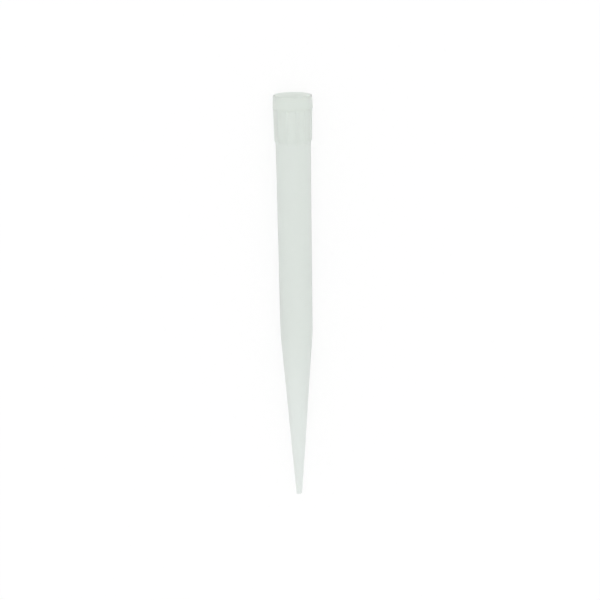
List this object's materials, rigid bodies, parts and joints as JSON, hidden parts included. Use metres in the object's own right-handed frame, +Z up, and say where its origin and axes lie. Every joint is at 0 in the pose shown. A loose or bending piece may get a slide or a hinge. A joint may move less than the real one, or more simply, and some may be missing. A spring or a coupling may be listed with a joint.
{
  "type": "pipette tip",
  "caption": "Long tapered pipette tip of translucent plastic, with a ribbed collar around the nozzle socket, a slightly tapered barrel and a fine conical end. It lies on its side.",
  "frame": {"origin": "centre of the bounding box, on the surface that the tip lies on", "axes": "+X along the tip towards its mouth, with the axis of the tip leaning up 1 degree towards the mouth because the collar is wider than the barrel; +Z up"},
  "size_m": [0.1502, 0.0146, 0.0147],
  "materials": {
    "natural_polypropylene": "injection moulded natural polypropylene, translucent and faintly hazy, satin"
  },
  "bodies": {
    "root": {"pipette_tip": "natural_polypropylene"}
  },
  "joints": []
}
